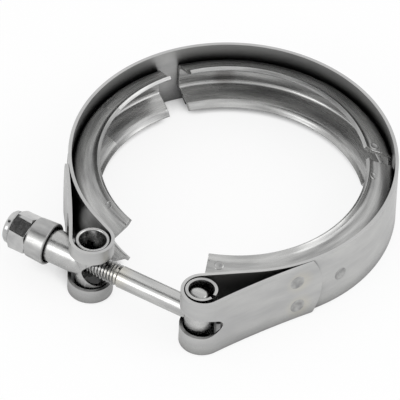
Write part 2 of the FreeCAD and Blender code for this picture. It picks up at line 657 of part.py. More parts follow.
def make_trunnion():
    """Barrel and sleeve in one piece, with a bore through each."""
    body = new_body("trunnion")
    barrel = body.newObject("PartDesign::Pad", "barrel")
    barrel.Profile = circle_sketch(
        body, "barrel_round", "XY_Plane", "Sizes.barrel_diameter / 2", size("barrel_diameter") / 2
    )
    barrel.Midplane = True
    bind(barrel, Length=TUBE_LENGTH)
    document.recompute()
    sleeve = body.newObject("PartDesign::Pad", "sleeve")
    sleeve.Profile = circle_sketch(
        body, "sleeve_round", "YZ_Plane", "Sizes.sleeve_diameter / 2", size("sleeve_diameter") / 2
    )
    sleeve.Reversed = True
    bind(sleeve, Length="Sizes.sleeve_length")
    document.recompute()
    names = []
    for number, edge in enumerate(sleeve.Shape.Edges, start=1):
        box = edge.BoundBox
        if edge.Curve.TypeId == "Part::GeomBSplineCurve" and box.ZLength > 1:
            names.append("Edge%d" % number)
    blend = body.newObject("PartDesign::Fillet", "sleeve_blend")
    blend.Base = (sleeve, names)
    bind(blend, Radius="Sizes.sleeve_blend")
    document.recompute()
    upright = body.newObject("PartDesign::Pocket", "barrel_bore")
    upright.Profile = circle_sketch(
        body, "barrel_bore_round", "XY_Plane", "Sizes.barrel_bore / 2", size("barrel_bore") / 2
    )
    upright.Midplane = True
    bind(upright, Length=TUBE_LENGTH + " * 2")
    document.recompute()
    level = body.newObject("PartDesign::Pocket", "sleeve_bore")
    level.Profile = circle_sketch(
        body, "sleeve_bore_round", "YZ_Plane", "Sizes.bolt_diameter / 2 + Sizes.sleeve_clearance",
        size("bolt_diameter") / 2 + size("sleeve_clearance"),
    )
    level.Midplane = True
    bind(level, Length="Sizes.sleeve_length * 3")
    document.recompute()
    place(body, x=BARREL_X, y=BOLT_Y)
    return body


def make_collar():
    outer = primitive("Cylinder", "collar_blank", Radius="Sizes.collar_diameter / 2", Height="Sizes.collar_length")
    along_x(outer, "%s - Sizes.collar_length" % COLLAR_FACE_X)
    document.recompute()
    rounded = document.addObject("Part::Fillet", "collar_edges")
    rounded.Base = outer
    edges = []
    for number, edge in enumerate(outer.Shape.Edges, start=1):
        if edge.BoundBox.XLength < 0.01:
            edges.append((number, size("collar_edge"), size("collar_edge")))
    rounded.Edges = edges
    bore = primitive(
        "Cylinder", "collar_bore", Radius="Sizes.bolt_diameter / 2 + Sizes.collar_bore_clearance",
        Height="Sizes.collar_length * 2",
    )
    along_x(bore, "%s - Sizes.collar_length * 1.5" % COLLAR_FACE_X)
    recess = primitive(
        "Cylinder", "collar_recess", Radius="Sizes.sleeve_diameter / 2 + Sizes.collar_recess_clearance",
        Height="Sizes.collar_recess_depth * 2",
    )
    along_x(recess, "%s - Sizes.collar_recess_depth" % COLLAR_FACE_X)
    collar = combine("Cut", "bored_collar", rounded, fuse_all("collar_openings", [bore, recess]))
    collar.Label = "collar"
    return collar


def make_nut():
    across = "Sizes.nut_across_flats"
    hexagon = primitive("Prism", "nut_hexagon", Circumradius=across + " / 2 / cos(30)", Height="Sizes.nut_hex_length")
    turn(hexagon, FreeCAD.Vector(0, 1, 0), 90)
    spin = FreeCAD.Rotation(FreeCAD.Vector(1, 0, 0), size("nut_turn"))
    hexagon.Placement.Rotation = spin.multiply(hexagon.Placement.Rotation)
    hex_end = "%s - Sizes.nut_hex_length" % NUT_FACE_X
    place(hexagon, x=hex_end, y=BOLT_Y)
    face_radius = across + " / 2 - 0.1"
    wide_radius = "%s + Sizes.nut_hex_length / tan(30)" % face_radius
    outer_cone = primitive(
        "Cone", "nut_outer_chamfer", Radius1=face_radius, Radius2=wide_radius, Height="Sizes.nut_hex_length"
    )
    along_x(outer_cone, hex_end)
    inner_cone = primitive(
        "Cone", "nut_face_chamfer", Radius1=wide_radius, Radius2=face_radius, Height="Sizes.nut_hex_length"
    )
    along_x(inner_cone, hex_end)
    shaped = combine("Common", "nut_chamfered_once", hexagon, outer_cone)
    shaped = combine("Common", "nut_chamfered", shaped, inner_cone)
    crown = primitive(
        "Cylinder", "nut_crown", Radius="Sizes.nut_crown_diameter / 2", Height="Sizes.nut_crown_length + 1"
    )
    along_x(crown, NUT_END_X)
    document.recompute()
    rounded = document.addObject("Part::Fillet", "nut_crown_rounded")
    rounded.Base = crown
    edges = []
    for number, edge in enumerate(crown.Shape.Edges, start=1):
        if edge.BoundBox.XMax < crown.Shape.BoundBox.XMin + 0.01:
            edges.append((number, size("nut_crown_edge"), size("nut_crown_edge")))
    rounded.Edges = edges
    bore = primitive(
        "Cylinder", "nut_bore", Radius="Sizes.thread_diameter / 2 + Sizes.thread_clearance",
        Height="(Sizes.nut_hex_length + Sizes.nut_crown_length) * 2",
    )
    along_x(bore, "%s - Sizes.nut_hex_length" % NUT_END_X)
    nut = combine("Cut", "bored_nut", fuse_all("nut_blank", [shaped, rounded]), bore)
    nut.Label = "lock_nut"
    return nut


nodes = [
    make_band(),
    make_retainer("retainer_left", "left_from", "left_to"),
    make_retainer("retainer_rear", "rear_from", "rear_to", slanted=True),
    make_retainer("retainer_right", "right_from", "right_to"),
    make_bolt(),
    make_tube(),
    make_trunnion(),
    make_collar(),
    make_nut(),
]
document.recompute()

for item in document.Objects:
    if "Invalid" in item.State or "Error" in item.State:
        raise RuntimeError("not built: " + item.Name)

os.makedirs("parts", exist_ok=True)
for node in nodes:
    shape = node.Shape
    if shape.isNull() or not shape.isValid() or len(shape.Solids) != 1:
        raise RuntimeError("not one sound solid: " + node.Label)
    shape.exportStep("parts/%s.step" % node.Label)
    box = shape.BoundBox
    print(node.Label, round(shape.Volume, 1), "x %.2f %.2f y %.2f %.2f z %.2f %.2f" % (
        box.XMin, box.XMax, box.YMin, box.YMax, box.ZMin, box.ZMax
    ))
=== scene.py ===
import math
import bpy
from mathutils import Matrix, Vector


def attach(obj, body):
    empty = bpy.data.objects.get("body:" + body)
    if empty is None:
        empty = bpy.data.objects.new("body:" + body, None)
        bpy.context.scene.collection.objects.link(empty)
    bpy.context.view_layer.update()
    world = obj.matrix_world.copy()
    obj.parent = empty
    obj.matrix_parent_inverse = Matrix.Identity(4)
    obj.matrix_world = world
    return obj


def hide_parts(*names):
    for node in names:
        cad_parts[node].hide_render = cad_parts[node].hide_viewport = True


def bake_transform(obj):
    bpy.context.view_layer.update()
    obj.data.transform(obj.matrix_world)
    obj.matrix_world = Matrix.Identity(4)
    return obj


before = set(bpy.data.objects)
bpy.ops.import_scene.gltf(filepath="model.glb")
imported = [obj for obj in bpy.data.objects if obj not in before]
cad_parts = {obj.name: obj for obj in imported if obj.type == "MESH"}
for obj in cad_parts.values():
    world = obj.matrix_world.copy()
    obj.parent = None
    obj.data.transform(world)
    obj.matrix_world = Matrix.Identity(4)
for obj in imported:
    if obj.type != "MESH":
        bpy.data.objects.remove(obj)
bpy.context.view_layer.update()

bpy.ops.object.select_all(action="DESELECT")

MM = 0.001

# Sizes of the clamp, in millimetres, as the part's source gives them.
BAND_RADIUS = 59.0
BAND_WIDTH = 24.5
STRIP = 1.2
RING_LINE = BAND_RADIUS - STRIP / 2
LOOP_BORE = 13.8
LOOP_LINE = LOOP_BORE / 2 + STRIP / 2
LOOP_REACH = 63.3
LOOP_SPACING = 46.4
BOLT_OFFSET = 3.4
LEG_BOW = 320.0
LAP_LINE = BAND_RADIUS + STRIP / 2 + 0.15
LAP_ANGLE = 3.5
LAP_END_RADIUS = 24.0
BOLT_RADIUS = 4.0
CORE_RADIUS = 3.4
THREAD_PITCH = 1.25
TUBE_RADIUS = 5.8
BARREL_RADIUS = 6.2
PIN_GAP = 0.3
BAND_HOLD = BAND_RADIUS + 0.07

UP = Vector((0, 0, 1))


def unit(angle):
    return Vector((math.cos(math.radians(angle)), math.sin(math.radians(angle)), 0))


def angle_of(vector):
    return math.degrees(math.atan2(vector.y, vector.x))


def wake(piece):
    """Leaves the piece as the only selected and active object, in object mode."""
    if bpy.context.object and bpy.context.object.mode != "OBJECT":
        bpy.ops.object.mode_set(mode="OBJECT")
    bpy.ops.object.select_all(action="DESELECT")
    piece.select_set(True)
    bpy.context.view_layer.objects.active = piece


def settle(name):
    """Names the new object and puts its place into its mesh."""
    piece = bpy.context.object
    wake(piece)
    bpy.ops.object.transform_apply(location=True, rotation=True, scale=True)
    piece.name = name
    piece.data.name = name
    return piece


def edit(piece):
    wake(piece)
    bpy.ops.object.mode_set(mode="EDIT")
    bpy.ops.mesh.select_mode(type="VERT")


def pick(piece, wanted):
    """Selects, in edit mode, the vertices whose place passes the test."""
    bpy.ops.object.mode_set(mode="OBJECT")
    mesh = piece.data
    chosen = [wanted(vertex.co / MM) for vertex in mesh.vertices]
    mesh.vertices.foreach_set("select", chosen)
    for parts in (mesh.edges, mesh.polygons):
        parts.foreach_set("select", [all(chosen[i] for i in part.vertices) for part in parts])
    bpy.ops.object.mode_set(mode="EDIT")


def finish_edit(piece):
    bpy.ops.mesh.select_all(action="SELECT")
    bpy.ops.mesh.remove_doubles(threshold=0.001 * MM)
    bpy.ops.mesh.normals_make_consistent(inside=False)
    bpy.ops.object.mode_set(mode="OBJECT")
    return piece


def turn_about(centre, angle, steps):
    """Draws what is selected round an upright axis, anticlockwise seen from above where the angle
    is more than zero. The spin operator counts the other way."""
    bpy.ops.mesh.spin(
        steps=steps, angle=-math.radians(angle), center=centre * MM, axis=UP, use_auto_merge=False
    )


def cylinder(name, radius, start, end, sides=96):
    """Solid cylinder between two points, in millimetres."""
    axis = Vector(end) - Vector(start)
    turn = UP.rotation_difference(axis).to_euler()
    middle = (Vector(start) + Vector(end)) / 2
    bpy.ops.mesh.primitive_cylinder_add(
        vertices=sides, radius=radius * MM, depth=axis.length * MM, location=middle * MM,
        rotation=turn,
    )
    return settle(name)


def apply_modifier(piece, kind, **settings):
    wake(piece)
    modifier = piece.modifiers.new(kind.lower(), kind)
    for setting, value in settings.items():
        setattr(modifier, setting, value)
    bpy.ops.object.modifier_apply(modifier=modifier.name)


def carve(piece, cutter, operation="DIFFERENCE"):
    apply_modifier(piece, "BOOLEAN", object=cutter, operation=operation, solver="EXACT")
    bpy.data.objects.remove(cutter)


def ease_edges(piece, width, segments=2, angle=35):
    """Breaks the sharp edges and shades the rest smooth."""
    apply_modifier(
        piece, "BEVEL", width=width * MM, segments=segments, limit_method="ANGLE",
        angle_limit=math.radians(angle), use_clamp_overlap=True, miter_outer="MITER_ARC",
    )
    shade(piece)
    apply_modifier(piece, "WEIGHTED_NORMAL", keep_sharp=True)


def shade(piece, angle=30):
    wake(piece)
    bpy.ops.object.shade_smooth_by_angle(angle=math.radians(angle), keep_sharp_edges=False)


# The strip's line, worked out as the part's source does it.


def loop_centre(side):
    return Vector((side * LOOP_SPACING / 2 + BOLT_OFFSET, -LOOP_REACH, 0))


def strip_angles(side):
    loop = loop_centre(side)
    apart = (RING_LINE + LOOP_LINE) / loop.length
    leaves_ring = angle_of(loop) + side * math.degrees(math.acos(apart))
    to_bow = LAP_LINE + LEG_BOW
    from_loop = LOOP_LINE + LEG_BOW
    cosine = (loop.length ** 2 + to_bow ** 2 - from_loop ** 2) / (2 * loop.length * to_bow)
    meets_ring = angle_of(loop) + side * math.degrees(math.acos(cosine))
    return leaves_ring, meets_ring, unit(meets_ring) * to_bow


def free_end_angle(side):
    return strip_angles(side)[1] + side * LAP_ANGLE


def turned(low, high, way):
    """The turn from one direction to another, going the given way round."""
    return way * ((way * (high - low)) % 360)


def strip_half(side, name):
    """One half of the strip: its section is drawn round the ring from the rear, along the inner
    leg, round the loop, back along the bowed outer leg and over the lap."""
    loop = loop_centre(side)
    leaves_ring, meets_ring, bow_centre = strip_angles(side)
    leaves_loop = angle_of(bow_centre - loop)
    bpy.ops.mesh.primitive_plane_add(size=1, rotation=(0, math.pi / 2, 0))
    strip = settle(name)
    edit(strip)
    bpy.ops.mesh.select_all(action="SELECT")
    bpy.ops.transform.resize(value=(1, STRIP * MM, BAND_WIDTH * MM))
    bpy.ops.transform.translate(value=(0, RING_LINE * MM, 0))
    bpy.ops.mesh.delete(type="ONLY_FACE")
    bpy.ops.mesh.select_all(action="SELECT")
    ring_turn = turned(90, leaves_ring, -side)
    turn_about(Vector((0, 0, 0)), ring_turn, round(abs(ring_turn) / 1.5))
    inner_leg = loop - unit(leaves_ring) * (LOOP_LINE + RING_LINE)
    bpy.ops.mesh.extrude_edges_move(TRANSFORM_OT_translate={"value": inner_leg * MM})
    loop_turn = turned(leaves_ring + 180, leaves_loop, side)
    turn_about(loop, loop_turn, round(abs(loop_turn) / 5))
    bow_turn = turned(leaves_loop + 180, meets_ring + 180, -side)
    turn_about(bow_centre, bow_turn, 10)
    turn_about(Vector((0, 0, 0)), side * LAP_ANGLE, 4)
    bpy.ops.mesh.edge_face_add()
    pick(strip, lambda place: abs(place.x) < 0.001 and place.y > 0)
    bpy.ops.mesh.edge_face_add()
    return finish_edit(strip)


def long_hole(name, height, closed, reach, low, high):
    """Cutter with round ends along X: a cylinder along Y whose one half is drawn out."""
    half = height / 2
    way = 1 if reach > closed else -1
    centre = reach - way * half
    cutter = cylinder(name, half, (centre, low, 0), (centre, high, 0), 64)
    edit(cutter)
    pick(cutter, lambda place: way * (place.x - centre) < -0.001)
    bpy.ops.transform.translate(value=((closed - centre) * MM, 0, 0))
    bpy.ops.object.mode_set(mode="OBJECT")
    return cutter


def open_windows(strip, side, height, outer_reach, inner_reach, beyond):
    """Cuts the window that runs round a loop's closed end, through both of its walls."""
    middle = loop_centre(side).x
    closed = middle - side * (LOOP_BORE / 2 + 2 * STRIP)
    deep = LOOP_BORE / 2 + 2 * STRIP
    for name, reach, low, high in (
        ("outer_window", outer_reach, -LOOP_REACH - deep, -LOOP_REACH),
        ("inner_window", inner_reach, -LOOP_REACH, -LOOP_REACH + deep),
    ):
        carve(strip, long_hole(name, height, closed, middle + side * reach, low, high))
    if beyond:
        run = long_hole(
            "leg_window", height, middle + side * LOOP_BORE / 2, middle + side * outer_reach,
            -LOOP_REACH - 1, -LOOP_REACH + beyond,
        )
        carve(run, cylinder("ring_core", BAND_HOLD, (0, 0, -20), (0, 0, 20), 256))
        carve(strip, run)


def round_free_end(strip, side):
    """Draws the corners of the free end back, so that it ends in a flat arc."""
    direction = unit(free_end_angle(side))
    along = side * unit(free_end_angle(side) + 90)
    reach = 2 * LAP_END_RADIUS
    bpy.ops.mesh.primitive_cube_add(size=reach * MM, location=(LAP_LINE * MM, 0, 0))
    corners = settle("end_corners")
    corners.rotation_euler.z = math.radians(free_end_angle(side))
    wake(corners)
    bpy.ops.object.transform_apply(location=False, rotation=True, scale=False)
    centre = direction * LAP_LINE - along * LAP_END_RADIUS
    inside, outside = centre - direction * reach, centre + direction * reach
    carve(corners, cylinder("end_arc", LAP_END_RADIUS, inside, outside, 256))
    carve(corners, cylinder("ring_core", BAND_HOLD, (0, 0, -30), (0, 0, 30), 256))
    carve(strip, corners)


def wire(name, corners):
    """A line of vertices through the corners, drawn out one by one."""
    bpy.ops.mesh.primitive_plane_add(size=1)
    line = settle(name)
    edit(line)
    bpy.ops.mesh.select_all(action="SELECT")
    bpy.ops.mesh.merge(type="CENTER")
    bpy.ops.transform.translate(value=Vector(corners[0]) * MM)
    for before, after in zip(corners, corners[1:]):
        step = (Vector(after) - Vector(before)) * MM
        bpy.ops.mesh.extrude_vertices_move(TRANSFORM_OT_translate={"value": step})
    return line


def spun(name, corners, centre, axis, sides):
    """Turned piece: a line through the corners goes once round the axis through the centre."""
    line = wire(name, corners)
    bpy.ops.mesh.select_all(action="SELECT")
    bpy.ops.mesh.spin(
        steps=sides, angle=math.tau, center=centre * MM, axis=axis, use_auto_merge=True
    )
    return finish_edit(line)


def lathe(name, outline, sides=96):
    """Turned piece on the bolt's line from pairs of X and radius. A last pair like the first
    closes the outline."""
    corners = [(x, radius - LOOP_REACH, 0) for x, radius in outline]
    return spun(name, corners, Vector((0, -LOOP_REACH, 0)), (1, 0, 0), sides)


def turn_up(name, outline, centre=Vector((0, 0, 0)), sides=64):
    """Turned piece on an upright axis from pairs of radius and height."""
    corners = [(centre.x + radius, centre.y, height) for radius, height in outline]
    return spun(name, corners, centre, UP, sides)


# The V retainers: the sheet's middle line is drawn, its bends are rounded, it is turned round
# the ring, given its thickness and trimmed at its ends.

SHEET = 1.5
WEB_LINE = BAND_RADIUS - STRIP - 0.05 - SHEET / 2
SECTION = [(47.98, 9.79), (49.52, 7.96), (WEB_LINE, 5.09)]


def retainer(name, low, high, lip_trim=0.0):
    """Retainer between two directions. The trim is how far the lips stop short of the web."""
    upper = [(radius, 0, height) for radius, height in SECTION]
    lower = [(radius, 0, -height) for radius, height in reversed(SECTION)]
    sheet = wire(name, upper + lower)
    pick(sheet, lambda place: abs(place.x - WEB_LINE) < 0.01)
    bpy.ops.mesh.bevel(offset=1.5 * MM, segments=6, affect="VERTICES")
    pick(sheet, lambda place: abs(place.x - SECTION[1][0]) < 0.01)
    bpy.ops.mesh.bevel(offset=0.8 * MM, segments=5, affect="VERTICES")
    bpy.ops.mesh.select_all(action="SELECT")
    turn_about(Vector((0, 0, 0)), high - low, round((high - low) / 1.2))
    finish_edit(sheet)
    sheet.rotation_euler.z = math.radians(low)
    bpy.ops.object.transform_apply(location=False, rotation=True, scale=False)
    apply_modifier(sheet, "SOLIDIFY", thickness=SHEET * MM, offset=0, use_even_offset=True)
    if lip_trim:
        edit(sheet)
        inner = SECTION[0][0] - 2 * SHEET
        for end, way in ((high, 1), (low, -1)):
            at_web = unit(end) * BAND_RADIUS
            at_lips = unit(end - way * lip_trim) * inner
            outwards = (at_web - at_lips).cross(UP).normalized()
            if outwards.dot(unit(end + way * 90)) < 0:
                outwards = -outwards
            bpy.ops.mesh.select_all(action="SELECT")
            bpy.ops.mesh.bisect(
                plane_co=at_web * MM, plane_no=outwards, clear_outer=True, use_fill=True
            )
        finish_edit(sheet)
    ease_edges(sheet, 0.2, 3)
    return sheet


# Materials.


def node(tree, kind, **settings):
    made = tree.nodes.new("ShaderNode" + kind)
    for setting, value in settings.items():
        setattr(made, setting, value)
    return made


def link(tree, output, target):
    tree.links.new(output, target)


def round_ring(tree, place):
    """Turns the place into distance along the ring, distance from its axis and height."""
    parts = node(tree, "SeparateXYZ")
    angle = node(tree, "Math", operation="ARCTAN2")
    along = node(tree, "Math", operation="MULTIPLY")
    along.inputs[1].default_value = BAND_RADIUS * MM
    flat = node(tree, "VectorMath", operation="MULTIPLY")
    flat.inputs[1].default_value = (1, 1, 0)
    radius = node(tree, "VectorMath", operation="LENGTH")
    joined = node(tree, "CombineXYZ")
    link(tree, place, parts.inputs[0])
    link(tree, parts.outputs["Y"], angle.inputs[0])
    link(tree, parts.outputs["X"], angle.inputs[1])
    link(tree, angle.outputs[0], along.inputs[0])
    link(tree, place, flat.inputs[0])
    link(tree, flat.outputs[0], radius.inputs[0])
    link(tree, along.outputs[0], joined.inputs["X"])
    link(tree, radius.outputs["Value"], joined.inputs["Y"])
    link(tree, parts.outputs["Z"], joined.inputs["Z"])
    return joined.outputs[0]


def noise(tree, place, repeats, detail=4.0):
    """Noise that repeats so often per metre along each of the three ways."""
    stretch = node(tree, "Mapping")
    stretch.inputs["Scale"].default_value = repeats
    made = node(tree, "TexNoise")
    made.inputs["Scale"].default_value = 1
    made.inputs["Detail"].default_value = detail
    link(tree, place, stretch.inputs["Vector"])
    link(tree, stretch.outputs["Vector"], made.inputs["Vector"])
    return made.outputs["Fac"]


def spread(tree, value, low, high, start=0.3, end=0.7):
    made = node(tree, "MapRange")
    made.inputs["From Min"].default_value = start
    made.inputs["From Max"].default_value = end
    made.inputs["To Min"].default_value = low
    made.inputs["To Max"].default_value = high
    link(tree, value, made.inputs["Value"])
    return made.outputs["Result"]


def steel(name, dark, light, rough, clouds, grain, wave, round_it=False, tints=(), shade_reaches=(3,)):
    """Bare steel from a dark to a light tone, with uneven gloss, fine grain and slow waves. Clouds,
    grain and wave hold how often each repeats per metre, and wave also its height. Tints are
    places, their width and their colour. Painted shade: the colour is darkened by ambient
    occlusion in creases and hollows narrower than each of the shade reaches."""
    material = bpy.data.materials.new(name)
    material.use_nodes = True
    tree = material.node_tree
    shader = tree.nodes["Principled BSDF"]
    shader.inputs["Metallic"].default_value = 1.0
    coordinates = node(tree, "TexCoord")
    place = coordinates.outputs["Object"]
    ring_place = round_ring(tree, place) if round_it else place
    tone = node(tree, "ValToRGB")
    tone.color_ramp.elements[0].position = 0.3
    tone.color_ramp.elements[0].color = (dark, dark, dark, 1)
    tone.color_ramp.elements[1].position = 0.7
    tone.color_ramp.elements[1].color = (light, light, light * 0.985, 1)
    link(tree, noise(tree, ring_place, clouds), tone.inputs["Fac"])
    colour = tone.outputs["Color"]
    for centre, width, shade_of in tints:
        gap = node(tree, "VectorMath", operation="DISTANCE")
        gap.inputs[1].default_value = Vector(centre) * MM
        link(tree, place, gap.inputs[0])
        amount = spread(tree, gap.outputs["Value"], 0.4, 0.0, width * 0.45 * MM, width * MM)
        mixed = node(tree, "Mix", data_type="RGBA")
        link(tree, amount, mixed.inputs[0])
        link(tree, colour, mixed.inputs[6])
        mixed.inputs[7].default_value = (*shade_of, 1)
        colour = mixed.outputs[2]
    # Painted shade: the colour is darkened where ambient occlusion finds the surface enclosed
    # within each reach, as in creases, gaps and under rims.
    for reach in shade_reaches:
        crease = node(tree, "AmbientOcclusion", samples=4)
        crease.inputs["Distance"].default_value = reach * MM
        painted_shade = spread(tree, crease.outputs["AO"], 0.2, 1.0, 0.2, 0.75)
        darkened = node(tree, "VectorMath", operation="SCALE")
        link(tree, colour, darkened.inputs[0])
        link(tree, painted_shade, darkened.inputs["Scale"])
        colour = darkened.outputs[0]
    link(tree, colour, shader.inputs["Base Color"])
    fine = noise(tree, ring_place, grain)
    link(tree, spread(tree, fine, *rough), shader.inputs["Roughness"])
    bump = node(tree, "Bump")
    bump.inputs["Strength"].default_value = 0.25
    bump.inputs["Distance"].default_value = 0.01 * MM
    link(tree, fine, bump.inputs["Height"])
    waves = node(tree, "Bump")
    waves.inputs["Strength"].default_value = 0.5
    waves.inputs["Distance"].default_value = wave[1] * MM
    link(tree, noise(tree, ring_place, wave[0], 1.0), waves.inputs["Height"])
    link(tree, bump.outputs["Normal"], waves.inputs["Normal"])
    link(tree, waves.outputs["Normal"], shader.inputs["Normal"])
    return material


WARM = (0.60, 0.57, 0.48)
SCORCHED = (0.05, 0.035, 0.03)
RIGHT_LEG_WELDS = [(48.6, -34.6, 5.3), (48.6, -34.6, -6.6)]
THREAD_RUN_OUT = (-8.5, -LOOP_REACH - 2, 2.5)
# Every steel gets painted shade within 3 mm. The strip also gets it within 14 mm, and the retainers
# get it within 5 mm only.
strip_steel = steel(
    "strip_steel", 0.45, 0.55, (0.32, 0.46), (60, 60, 200), (150, 150, 2500), ((40, 40, 90), 0.2),
    round_it=True, tints=[(centre, 6.0, WARM) for centre in RIGHT_LEG_WELDS], shade_reaches=(3, 14),
)
weld_steel = steel(
    "weld_steel", 0.27, 0.48, (0.30, 0.44), (400, 400, 400), (900, 900, 900),
    ((300, 300, 300), 0.1),
)
retainer_steel = steel(
    "retainer_steel", 0.21, 0.58, (0.18, 0.36), (30, 300, 300), (60, 1200, 1200),
    ((40, 160, 160), 0.6), round_it=True, tints=[((-32, 46.3, -1.9), 5.0, SCORCHED)], shade_reaches=(5,),
)
bolt_steel = steel(
    "bolt_steel", 0.38, 0.56, (0.18, 0.34), (60, 400, 400), (100, 2500, 2500),
    ((60, 200, 200), 0.15), tints=[(THREAD_RUN_OUT, 7.0, WARM)],
)
tube_steel = steel(
    "tube_steel", 0.38, 0.56, (0.2, 0.34), (150, 150, 150), (700, 700, 700),
    ((120, 120, 120), 0.2),
)
thread_steel = steel(
    "thread_steel", 0.22, 0.46, (0.10, 0.22), (60, 400, 400), (100, 2500, 2500),
    ((60, 200, 200), 0.05),
)
collar_steel = steel(
    "collar_steel", 0.34, 0.54, (0.28, 0.42), (100, 250, 250), (300, 1500, 1500),
    ((60, 200, 200), 0.15),
)
nut_steel = steel(
    "nut_steel", 0.42, 0.66, (0.08, 0.18), (150, 150, 150), (700, 700, 700),
    ((120, 120, 120), 0.12),
)


def finish_piece(piece, material, slot, body, *nodes):
    """Gives the piece its material, the body that carries it and what it replaces. The slot is not
    used.
    """
    piece.data.materials.clear()
    piece.data.materials.append(material)
    if body:
        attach(piece, body)
    if nodes:
        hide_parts(*nodes)
    return piece


# Strip.

# Each window's height, how far its outer and inner run reach, and how deep it goes beyond them.
windows = {1: (8.8, 8.7, 6.5, 0), -1: (13.2, 19.5, 6.5, LOOP_BORE)}
strips = {}
for side, name, arm in ((1, "strip_right", "right_arm"), (-1, "strip_left", "left_arm")):
    strip = strip_half(side, name)
    open_windows(strip, side, *windows[side])
    round_free_end(strip, side)
    ease_edges(strip, 0.22, 3)
    strips[side] = strip
    finish_piece(strip, strip_steel, "strip_steel", None, "band")
    end = unit(90 - side * 75) * RING_LINE * MM
    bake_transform(strip)

# Retainers.

sheets = {}
for name, low, high, lip_trim, body in (
    ("retainer_left_sheet", 149.5, 252.5, 0, "left_arm"),
    ("retainer_rear_sheet", 40.5, 142.0, 2.4, "ring"),
    ("retainer_right_sheet", -68.8, 35.4, 0, "right_arm"),
):
    piece = retainer(name, low, high, lip_trim)
    sheets[body] = piece
    finish_piece(piece, retainer_steel, "retainer_steel", body, name[:-6])

# Spot welds: a shallow ring that the electrode leaves, laid on the surface that it marks.


WELD_SECTION = [(0, 0.02), (0.28, 0.03), (0.34, 0.16), (0.40, 0.22), (0.46, 0.16), (0.55, -0.2)]


def spot_weld(name, carrier, slot, outside, aim, width, body):
    """Ring mark where the line from a place outside to its aim meets the carrier."""
    way = (Vector(aim) - Vector(outside)).normalized()
    _, place, normal, _ = carrier.ray_cast(Vector(outside) * MM, way)
    mark = turn_up(name, [(radius * width, height) for radius, height in WELD_SECTION], sides=40)
    mark.rotation_euler = normal.to_track_quat("Z", "Y").to_euler()
    mark.location = place
    wake(mark)
    bpy.ops.object.transform_apply(location=True, rotation=True, scale=True)
    shade(mark, 60)
    finish_piece(mark, weld_steel, slot, body)


for name, side, x, y, z, width, body in (
    ("weld_leg_right_upper", 1, 48.6, -35.8, 5.4, 5.6, "right_arm"),
    ("weld_leg_right_lower", 1, 48.9, -35.4, -6.3, 5.6, "right_arm"),
    ("weld_ring_right", 1, 56.1, -18.2, -0.9, 5.0, "right_arm"),
    ("weld_leg_left_upper", -1, -52.5, -29.5, 5.4, 5.6, "left_arm"),
    ("weld_leg_left_lower", -1, -52.5, -29.5, -6.3, 5.6, "left_arm"),
    ("weld_ring_left", -1, -55.7, -19.4, -0.9, 5.0, "left_arm"),
    ("weld_ring_rear", 1, 1.3, 59.0, -0.9, 5.0, "ring"),
):
    outside, aim = (x * 1.3, y * 1.3, z), (x * 0.9, y * 0.9, z)
    spot_weld(name, strips[side], "strip_steel", outside, aim, width, body)
for name, arm, x, y in (
    ("weld_lip_right_front", "right_arm", 22.6, -46.4),
    ("weld_lip_right_rear", "right_arm", 44.9, 22.3),
    ("weld_lip_rear", "ring", 37.0, 36.1),
    ("weld_lip_left", "left_arm", -25.5, -42.9),
):
    spot_weld(name, sheets[arm], "retainer_steel", (x, y, 30), (x, y, 0), 3.4, arm)

# T end.

TUBE_X = loop_centre(1).x - (LOOP_BORE / 2 - TUBE_RADIUS - PIN_GAP)
BARREL_X = loop_centre(-1).x + (LOOP_BORE / 2 - BARREL_RADIUS - PIN_GAP)
SLEEVE_LENGTH = 19.0
CUP_DEPTH = 2.4
COLLAR_LENGTH = 7.85
COLLAR_FACE = BARREL_X - SLEEVE_LENGTH + CUP_DEPTH - 0.02
NUT_FACE = COLLAR_FACE - COLLAR_LENGTH - 0.02
NUT_END = NUT_FACE - 10.0
BOLT_END = NUT_END + 1.0
THREAD_START = BOLT_END + 45.5
PIN_HALF = 12
TUBE_WALL = 1.1
SEAM_WIDTH = 18
SEAM_ANGLE = -9

tube_line = TUBE_RADIUS - TUBE_WALL / 2
tube = wire("t_tube_wall", [(tube_line, 0, -PIN_HALF), (tube_line, 0, PIN_HALF)])
bpy.ops.mesh.select_all(action="SELECT")
turn_about(Vector((0, 0, 0)), 360 - SEAM_WIDTH, 72)
finish_edit(tube)
apply_modifier(tube, "SOLIDIFY", thickness=TUBE_WALL * MM, offset=0)
tube.rotation_euler.z = math.radians(SEAM_ANGLE + SEAM_WIDTH / 2)
tube.location = (TUBE_X * MM, -LOOP_REACH * MM, 0)
wake(tube)
bpy.ops.object.transform_apply(location=True, rotation=True, scale=True)
hole_end = (TUBE_X, -LOOP_REACH, 0)
carve(tube, cylinder("tube_hole", BOLT_RADIUS + 0.06, (TUBE_X - 9, -LOOP_REACH, 0), hole_end))
ease_edges(tube, 0.35, 4)
finish_piece(tube, tube_steel, "tube_steel", "bolt", "t_tube")

# The bolt's upset head is drawn round, then flattened across the tube.

head = cylinder("bolt_head", 3.7, (0, 0, -10.3), (0, 0, 10.3), 64)
ease_edges(head, 1.6, 8)
head.scale.y = 0.8
head.location = ((TUBE_X - 0.9) * MM, (-LOOP_REACH - 0.2) * MM, 0)
wake(head)
bpy.ops.object.transform_apply(location=True, rotation=True, scale=True)
finish_piece(head, bolt_steel, "bolt_steel", "bolt")

shank = lathe("bolt_shank", [
    (BOLT_END, 0), (BOLT_END, CORE_RADIUS - 0.5), (BOLT_END + 0.5, CORE_RADIUS),
    (THREAD_START - 0.4, CORE_RADIUS), (THREAD_START + 0.3, BOLT_RADIUS),
    (TUBE_X - 4.3, BOLT_RADIUS), (TUBE_X - 4.3, 0),
])
shade(shank)
finish_piece(shank, bolt_steel, "bolt_steel", "bolt", "t_bolt")

